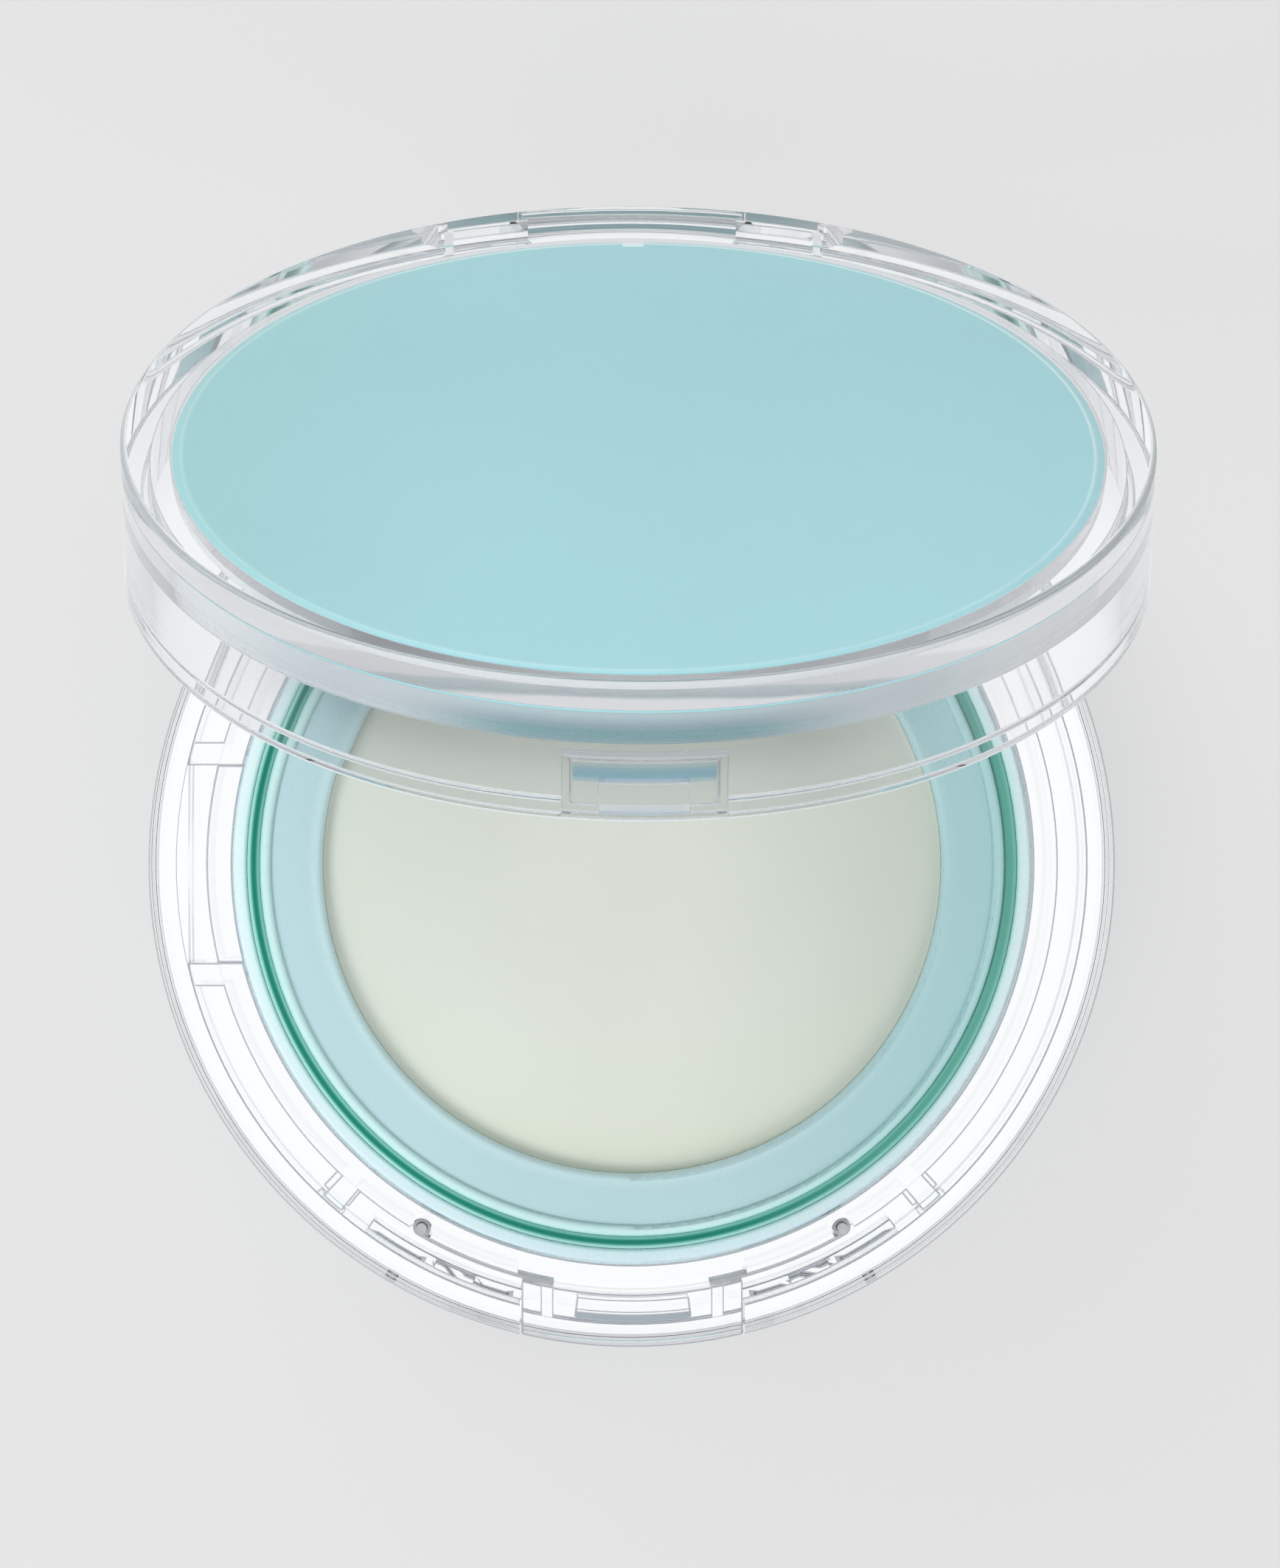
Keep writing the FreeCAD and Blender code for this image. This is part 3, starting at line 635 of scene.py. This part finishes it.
def block(name, low, high):
    """Box between two corners."""
    bpy.ops.object.select_all(action="DESELECT")
    middle = [(a + b) / 2 * MM for a, b in zip(low, high)]
    size = [(b - a) * MM for a, b in zip(low, high)]
    bpy.ops.mesh.primitive_cube_add(size=1.0, location=middle, scale=size)
    piece = bpy.context.object
    piece.name = name
    bpy.ops.object.transform_apply(location=True, rotation=True, scale=True)
    return piece


def rod(name, radius, length, middle, along):
    """Round bar along X or Z."""
    bpy.ops.object.select_all(action="DESELECT")
    turn = (0.0, math.pi / 2, 0.0) if along == "X" else (0.0, 0.0, 0.0)
    place = [value * MM for value in middle]
    bpy.ops.mesh.primitive_cylinder_add(
        vertices=ROD_SIDES, radius=radius * MM, depth=length * MM, location=place, rotation=turn)
    piece = bpy.context.object
    piece.name = name
    bpy.ops.object.transform_apply(location=True, rotation=True, scale=True)
    return piece


def combine(piece, other, way):
    take(piece)
    step = piece.modifiers.new("shape", "BOOLEAN")
    step.operation = way
    step.object = other
    step.solver = "EXACT"
    bpy.ops.object.modifier_apply(modifier="shape")
    bpy.data.objects.remove(other)
    return piece


def add_to(piece, *others):
    for other in others:
        combine(piece, other, "UNION")
    return piece


def cut_from(piece, *others):
    for other in others:
        combine(piece, other, "DIFFERENCE")
    return piece


def keep_inside(piece, other):
    return combine(piece, other, "INTERSECT")


def front_part(piece, half_width):
    """What lies in front of the axis, as wide as twice the half width."""
    return keep_inside(piece, block("front_part", (-half_width, -FARTHER, 0.0), (half_width, 0.0, HIGH)))


def post_place(side, height):
    """Place of the left (-1) or right (1) spring post."""
    return side * POST_RING * math.sin(POST_TURN), -POST_RING * math.cos(POST_TURN), height


def swing_open(piece):
    """Lid pieces are modelled closed and swung open about the hinge pin."""
    work_on(piece)
    bpy.ops.transform.rotate(value=OPEN_ANGLE, orient_axis="X", center_override=HINGE)
    put_down()


def eased(piece, width, count):
    """Piece with rounded edges."""
    take(piece)
    step = piece.modifiers.new("edges", "BEVEL")
    step.width = width * MM
    step.segments = count
    step.limit_method = "ANGLE"
    step.angle_limit = EASED_ANGLE
    step.use_clamp_overlap = False
    bpy.ops.object.modifier_apply(modifier="edges")
    return piece


def smooth_skin(piece):
    take(piece)
    bpy.ops.object.shade_smooth_by_angle(angle=SMOOTH_ANGLE)
    step = piece.modifiers.new("normals", "WEIGHTED_NORMAL")
    step.keep_sharp = True
    bpy.ops.object.modifier_apply(modifier="normals")


def mark_edges(piece, low, high, order=EDGE):
    """Rounded edges between two heights get the edge's material, or another by its order."""
    for face in piece.data.polygons:
        lean = abs(face.normal.z)
        if UPRIGHT < lean < LEVEL and low * MM < face.center.z < high * MM:
            face.material_index = order


def mark_walls(piece, inner, front):
    """Upright walls outside a radius and in front of a line get the wall's material."""
    for face in piece.data.polygons:
        far = math.hypot(face.center.x, face.center.y)
        if abs(face.normal.z) < UPRIGHT and far > inner * MM and face.center.y < front * MM:
            face.material_index = WALL


def set_in_place(piece, node, body, slot, *materials):
    """Finished piece that stands for a solid and moves with its body."""
    smooth_skin(piece)
    for material in materials:
        piece.data.materials.append(material)
    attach(piece, body)
    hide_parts(node)


# Lid shell: thick clear top, skirt with a stepped rim, seat for the disc and its frame, hinge tongue
def clear_lid():
    seat_roof = 19.84
    ledge = 17.8
    rim_inside = 36.5
    rim_step = 13.15
    lid = turned("clear_lid", [
        (rim_inside, LID_FOOT, 0.12), (OUTSIDE, LID_FOOT, 0.25), (OUTSIDE, LID_TOP, 0.5), (0.0, LID_TOP),
        (0.0, seat_roof), (DISC_SEAT, seat_roof, 0.1), (DISC_SEAT, ledge), (SKIRT_INSIDE, ledge, 0.1),
        (SKIRT_INSIDE, rim_step, 0.2), (rim_inside, rim_step, 0.12)])
    half_tongue = 7.3
    tongue = block("tongue", (-half_tongue, 33.4, HINGE_Z), (half_tongue, 37.33, 18.95))
    keep_inside(tongue, turned("tongue_room", [(32.9, 3.0), (37.75, 3.0), (37.75, 22.0), (32.9, 22.0)]))
    cut_from(tongue, rod("disc_room", DISC_SEAT, 6.0, (0.0, 0.0, 19.87), "Z"))
    add_to(tongue, rod("barrel", 2.2, 2 * half_tongue, (0.0, HINGE_Y, HINGE_Z), "X"))
    cut_from(tongue, rod("pin_bore", 0.8, 30.0, (0.0, HINGE_Y, HINGE_Z), "X"))
    add_to(lid, tongue, block("disc_key", (-0.85, 33.8, 18.15), (0.85, 35.2, 19.3)))
    pocket = turned("catch_pocket", [(34.9, 11.0), (37.2, 11.0), (37.2, 17.15), (34.9, 17.15)])
    cut_from(lid, front_part(pocket, 5.75))
    tick = 0.7
    for near in (-14.7, 14.0):
        slot = turned("tick_slot", [(35.15, 15.9), (37.35, 15.9), (37.35, 21.3), (35.15, 21.3)])
        cut_from(lid, keep_inside(slot, block("tick_width", (near, 0.0, 0.0), (near + tick, FAR, HIGH))))
    mark_edges(lid, 12.0, 14.4)
    mark_edges(lid, 22.7, 23.4, TOP_RIM)
    mark_walls(lid, 35.7, -12.0)
    swing_open(lid)
    set_in_place(lid, "lid_shell", "lid", "clear_plastic", lid_clear, pale_edge_painted_highlight, lid_wall, rim_edge_painted_shade)


# Framed catch in the front of the skirt, with a window and a tab
def clear_catch():
    plate = turned("lid_catch", [(35.92, LID_FOOT), (37.15, LID_FOOT), (37.15, 17.1), (35.92, 17.1)])
    front_part(plate, 5.7)
    window = turned("catch_window", [(34.9, 12.8), (36.35, 12.8), (36.35, 16.45), (34.9, 16.45)])
    cut_from(plate, front_part(window, 5.05))
    tab = turned("catch_tab", [
        (35.55, LID_FOOT), (36.4, LID_FOOT), (36.4, 14.55), (35.15, 14.55), (35.15, 12.55)])
    add_to(plate, front_part(tab, 3.1))
    eased(plate, 0.12, 2)
    mark_edges(plate, 12.0, 18.0)
    swing_open(plate)
    set_in_place(plate, "catch_plate", "lid", "clear_plastic", catch_clear, pale_edge_painted_highlight)


# Base shell: floor and outer wall, cheeks for the hinge, a flat at the left, and notches for the
# hinge and the button
def clear_base():
    floor_top = 1.46
    shell = turned("clear_base", [
        (0.0, 0.0), (OUTSIDE, 0.0, 1.2), (OUTSIDE, BASE_TOP, 0.24), (WALL_INSIDE, BASE_TOP, 0.18),
        (WALL_INSIDE, floor_top, 0.2), (0.0, floor_top)])
    in_wall = 36.85
    cheeks = turned("hinge_cheeks", [(34.0, 0.75), (in_wall, 0.75), (in_wall, 11.9), (34.0, 11.9, 0.12)])
    keep_inside(cheeks, block("cheek_width", (-12.2, 0.0, 0.0), (12.2, FAR, HIGH)))
    flat = rod("pry_flat", in_wall, 11.2, (0.0, 0.0, 6.36), "Z")
    keep_inside(flat, block("flat_width", (-FAR, -HALF_PRY_NOTCH, 0.0), (-34.85, HALF_PRY_NOTCH, HIGH)))
    add_to(shell, cheeks, flat)
    relief = block("rim_relief", (-FAR, HINGE_Y, HINGE_Z), (FAR, FAR, ABOVE_BASE))
    cut_from(relief, rod("swing_room", 6.4, 130.0, (0.0, HINGE_Y, HINGE_Z), "X"))
    notch = turned("button_notch", [(33.5, 3.0), (FAR, 3.0), (FAR, ABOVE_BASE), (33.5, ABOVE_BASE)])
    keep_inside(notch, block("notch_width", (-8.85, -FARTHER, 0.0), (8.85, -33.9, HIGH)))
    hinge_notch = block(
        "hinge_notch", (-HALF_HINGE_NOTCH, HINGE_NOTCH_INSIDE, 3.1), (HALF_HINGE_NOTCH, FAR, ABOVE_BASE))
    cut_from(shell, relief, notch, hinge_notch, rod("pin_hole", 0.78, 48.7, (13.65, HINGE_Y, HINGE_Z), "X"))
    for side in (-1, 1):
        cut_from(shell, rod("post_hole", 0.45, 2.0, post_place(side, 1.7), "Z"))
    mark_edges(shell, 2.0, 13.0)
    set_in_place(shell, "base_shell", "base", "clear_plastic", clear, edge_look)


# Deck ring: inner wall with footed ribs, the pry notch at the left between two ribs, and room for
# latch and hinge. Ribs and feet end a little short of the ring's top and bottom
def clear_deck():
    deck = turned("clear_deck", [
        (DECK_INSIDE, 1.52), (33.9, 1.52), (33.9, 3.9, 0.16), (DECK_OUTSIDE, 3.9),
        (DECK_OUTSIDE, BASE_TOP, 0.2), (DECK_INSIDE, BASE_TOP, 0.2)])
    cut_from(deck, block("pry_notch", (-FAR, -HALF_PRY_NOTCH, 10.5), (0.0, HALF_PRY_NOTCH, ABOVE_BASE)))
    eased(deck, 0.12, 2)
    rib_outside = 35.6
    rib_top = 11.98
    rib_ease = 0.14
    rib = [(32.5, 1.54), (rib_outside, 1.54), (rib_outside, rib_top), (32.5, rib_top)]
    foot = [(32.6, 1.56), (35.57, 1.56), (35.57, 3.6), (32.6, 3.6)]
    half_rib = math.degrees(0.95 / WALL_INSIDE)
    half_foot = math.degrees(1.35 / WALL_INSIDE)
    for middle in (-130.0, -41.5, 41.5, 130.0):
        add_to(
            deck, eased(swept("deck_rib", rib, middle - half_rib, middle + half_rib), rib_ease, 2),
            eased(swept("rib_foot", foot, middle - half_foot, middle + half_foot), rib_ease, 2))
    pry_rib_width = 1.85
    for near in (-HALF_PRY_NOTCH - pry_rib_width, HALF_PRY_NOTCH):
        pry_rib = block("pry_rib", (-36.5, near, 1.0), (-30.0, near + pry_rib_width, rib_top))
        eased(pry_rib, rib_ease, 2)
        room = turned("pry_rib_room", [
            (32.5, 1.54), (rib_outside, 1.54), (rib_outside, ABOVE_BASE), (32.5, ABOVE_BASE)])
        add_to(deck, keep_inside(pry_rib, room))
    relief = turned("latch_relief", [(32.8, 0.0), (FAR, 0.0), (FAR, ABOVE_BASE), (32.8, ABOVE_BASE)])
    keep_inside(relief, block("relief_width", (-9.0, -FARTHER, -1.0), (9.0, 0.0, HIGH)))
    tongue_notch = block(
        "tongue_notch", (-HALF_HINGE_NOTCH, HINGE_NOTCH_INSIDE, 0.0), (HALF_HINGE_NOTCH, FAR, ABOVE_BASE))
    cut_from(deck, relief, tongue_notch)
    for side in (-1, 1):
        cut_from(deck, rod("eye_pocket", 0.9, 16.0, post_place(side, 7.0), "Z"))
    mark_edges(deck, 2.0, 13.0)
    set_in_place(deck, "deck_ring", "base", "clear_plastic", clear, edge_look)


# Push button: front bar, body with two ribs, upstanding hook, and arms with pads that slide in the shell
def clear_button():
    body_inside = 33.9
    body_top = 11.3
    bar_inside = 36.1
    bar_top = 11.9
    button = swept("push_button", [
        (body_inside, 3.15), (OUTSIDE, 3.15), (OUTSIDE, bar_top), (bar_inside, bar_top),
        (bar_inside, body_top), (body_inside, body_top)], -18.2, 18.2, 13)
    front_part(button, 8.7)
    eased(button, 0.14, 2)
    for near in (-7.2, 6.2):
        rib = eased(block("body_rib", (near, -37.0, 5.0), (near + 1.0, -33.0, 11.88)), 0.1, 2)
        room = turned("rib_room", [(33.96, 4.0), (37.0, 4.0), (37.0, 13.0), (33.96, 13.0)])
        add_to(button, keep_inside(rib, room))
    arm = [(34.67, 4.65), (35.55, 4.65), (35.55, 9.5), (34.67, 9.5)]
    pad = [(34.74, 4.9), (35.48, 4.9), (35.48, 10.7), (34.74, 10.7)]
    arm_ease = 0.12
    pad_turn = 23.5
    half_pad = math.degrees(1.75 / 35.55)
    for side in (-1, 1):
        middle = side * pad_turn
        add_to(
            button, eased(swept("arm", arm, side * 6.0, side * 36.0), arm_ease, 2),
            eased(swept("arm_pad", pad, middle - half_pad, middle + half_pad), arm_ease, 2))
    hook_inside = 34.02
    hook_neck = 34.95
    hook_nose = 35.65
    hook_top = 15.6
    hook = swept("hook", [
        (hook_inside, 10.5), (hook_neck, 10.5), (hook_neck, 14.7), (hook_nose, 14.7), (hook_nose, 15.05),
        (35.1, hook_top), (hook_inside, hook_top)], -7.4, 7.4)
    add_to(button, eased(hook, 0.15, 3))
    mark_edges(button, 3.5, 16.0)
    set_in_place(button, "latch_button", "button", "clear_plastic", clear, edge_look)


# Poured cake: slightly crowned, and drawn up a little where it meets the ring
def poured_cake():
    crown_rise = 0.55
    crown_foot = 10.7
    crown_steps = 12
    crown = [(0.0, 11.25)]
    for step in range(1, crown_steps + 1):
        radius = 23.4 * step / crown_steps
        crown.append((radius, crown_foot + crown_rise * (1.0 - (radius / 23.73) ** 2)))
    edge = [(23.8, 10.71), (24.05, 10.75), (24.2, 10.82), (24.31, 10.95)]
    foot = [(0.0, 2.95), (25.1, 2.95), (25.1, 9.3), (24.31, 9.3)]
    cake = turned("poured_cake", foot + edge[::-1] + crown[::-1])
    set_in_place(cake, "cream_cake", "base", "cream", cake_look)


# Soft seal that fills the groove between ring and cup
def soft_seal():
    inside = 29.262
    outside = 30.268
    seal = turned("soft_seal", [
        (inside, 10.42), (outside, 10.42), (outside, 11.76, 0.1), (30.0, 11.92, 0.15), (29.53, 11.92, 0.15),
        (inside, 11.76, 0.1)])
    set_in_place(seal, "seal_ring", "base", "teal_seal", seal_look)


clear_lid()
clear_catch()
clear_base()
clear_deck()
clear_button()
poured_cake()
soft_seal()


# The pale floor: light grey with the shadow kept, and white where it is seen through the clear plastic,
# falling off to grey further out so that clear edges show
def floor_look():
    material, tree = new_material("floor_look")
    plain = add_node(tree, "ShaderNodeBsdfDiffuse")
    plain.inputs["Color"].default_value = (0.76, 0.76, 0.76, 1.0)
    part = add_node(tree, "ShaderNodeBsdfDiffuse")
    part.inputs["Color"].default_value = (0.20, 0.20, 0.20, 1.0)
    glow = add_node(tree, "ShaderNodeEmission")
    glow.inputs["Color"].default_value = (0.545, 0.545, 0.545, 1.0)
    seen = add_node(tree, "ShaderNodeAddShader")
    join(tree, part, 0, seen, 0)
    join(tree, glow, 0, seen, 1)
    white = (1.0, 1.005, 1.01)
    place = case_place(tree, 12.0)
    fading = ringed_colour(tree, place, [
        (0.0, white), (52.0, white), (60.0, (0.79, 0.795, 0.81)), (95.0, (0.62, 0.63, 0.65)),
        (150.0, (0.52, 0.53, 0.55))])
    through = add_node(tree, "ShaderNodeEmission")
    join(tree, fading, "Color", through, "Color")
    path = add_node(tree, "ShaderNodeLightPath")
    either = either_ray(tree, path, "Is Transmission Ray", "Is Glossy Ray")
    unseen = mixed(tree, either, "Value", plain, through)
    close_material(tree, mixed(tree, path, "Is Camera Ray", unseen, seen))
    return material


bpy.ops.mesh.primitive_plane_add(size=4.0, location=(0.0, 0.0, -0.00005))
floor = bpy.context.object
floor.name = "floor"
bpy.ops.object.transform_apply(location=True, rotation=True, scale=True)
floor.data.materials.append(floor_look())


# Soft studio light all round: even for the object, grey to the camera, and shaded towards
# the horizon for reflections, so that clear edges show
def studio_world():
    world = bpy.data.worlds.new("studio")
    scene.world = world
    world.use_nodes = True
    tree = world.node_tree
    tree.nodes.clear()
    place = add_node(tree, "ShaderNodeTexCoord")
    split = add_node(tree, "ShaderNodeSeparateXYZ")
    join(tree, place, "Generated", split, "Vector")
    ramp = add_node(tree, "ShaderNodeValToRGB")
    ramp.color_ramp.elements[0].position = 0.05
    ramp.color_ramp.elements[0].color = (0.42, 0.43, 0.46, 1.0)
    ramp.color_ramp.elements[1].position = 0.60
    ramp.color_ramp.elements[1].color = (1.0, 1.0, 1.0, 1.0)
    join(tree, split, "Z", ramp, "Fac")
    seen = add_node(tree, "ShaderNodeBackground")
    seen.inputs["Color"].default_value = (0.76, 0.76, 0.76, 1.0)
    even = add_node(tree, "ShaderNodeBackground")
    even.inputs["Color"].default_value = (1.0, 1.0, 1.0, 1.0)
    even.inputs["Strength"].default_value = 0.58
    mirrored = add_node(tree, "ShaderNodeBackground")
    join(tree, ramp, "Color", mirrored, "Color")
    path = add_node(tree, "ShaderNodeLightPath")
    either = either_ray(tree, path, "Is Transmission Ray", "Is Glossy Ray")
    unseen = mixed(tree, either, "Value", even, mirrored)
    view = mixed(tree, path, "Is Camera Ray", unseen, seen)
    out = add_node(tree, "ShaderNodeOutputWorld")
    join(tree, view, 0, out, "Surface")


studio_world()


# Soft round lamps, left out of reflections
def soft_lamp(name, place, aim, size, power):
    bpy.ops.object.light_add(type="AREA", location=place)
    lamp = bpy.context.object
    lamp.name = name
    lamp.data.shape = "DISK"
    lamp.data.size = size
    lamp.data.energy = power
    away = math.dist(place, aim)
    level = math.hypot(aim[0] - place[0], aim[1] - place[1])
    turn = math.atan2(aim[1] - place[1], aim[0] - place[0]) - math.pi / 2
    lamp.visible_glossy = False
    lamp.visible_transmission = False
    lamp.rotation_euler = (math.asin(min(1.0, level / away)), 0.0, turn)


soft_lamp("key_lamp", (-0.45, -0.3, 0.55), (0.0, 0.0, 0.02), 0.4, 2.6)
soft_lamp("fill_lamp", (0.3, -0.55, 0.5), (0.0, 0.0, 0.02), 0.5, 1.5)
soft_lamp("back_lamp", (-0.2, 0.5, 0.5), (0.0, 0.0, 0.03), 0.45, 1.8)

# Camera of the photograph, found from the case's ellipses
bpy.ops.object.camera_add(location=(-0.007111, 0.006292, 0.51202))
camera = bpy.context.object
camera.name = "photo_camera"
camera.rotation_euler = (0.0, math.radians(-0.884), 0.0)
camera.data.lens = 146.09
camera.data.sensor_width = 36.0
camera.data.clip_start = 0.01
camera.data.clip_end = 20.0
scene.camera = camera

scene.view_settings.view_transform = "Standard"

# Light runs a long way inside thick clear plastic
scene.cycles.max_bounces = 32
scene.cycles.glossy_bounces = 24
scene.cycles.transmission_bounces = 32
scene.cycles.transparent_max_bounces = 48
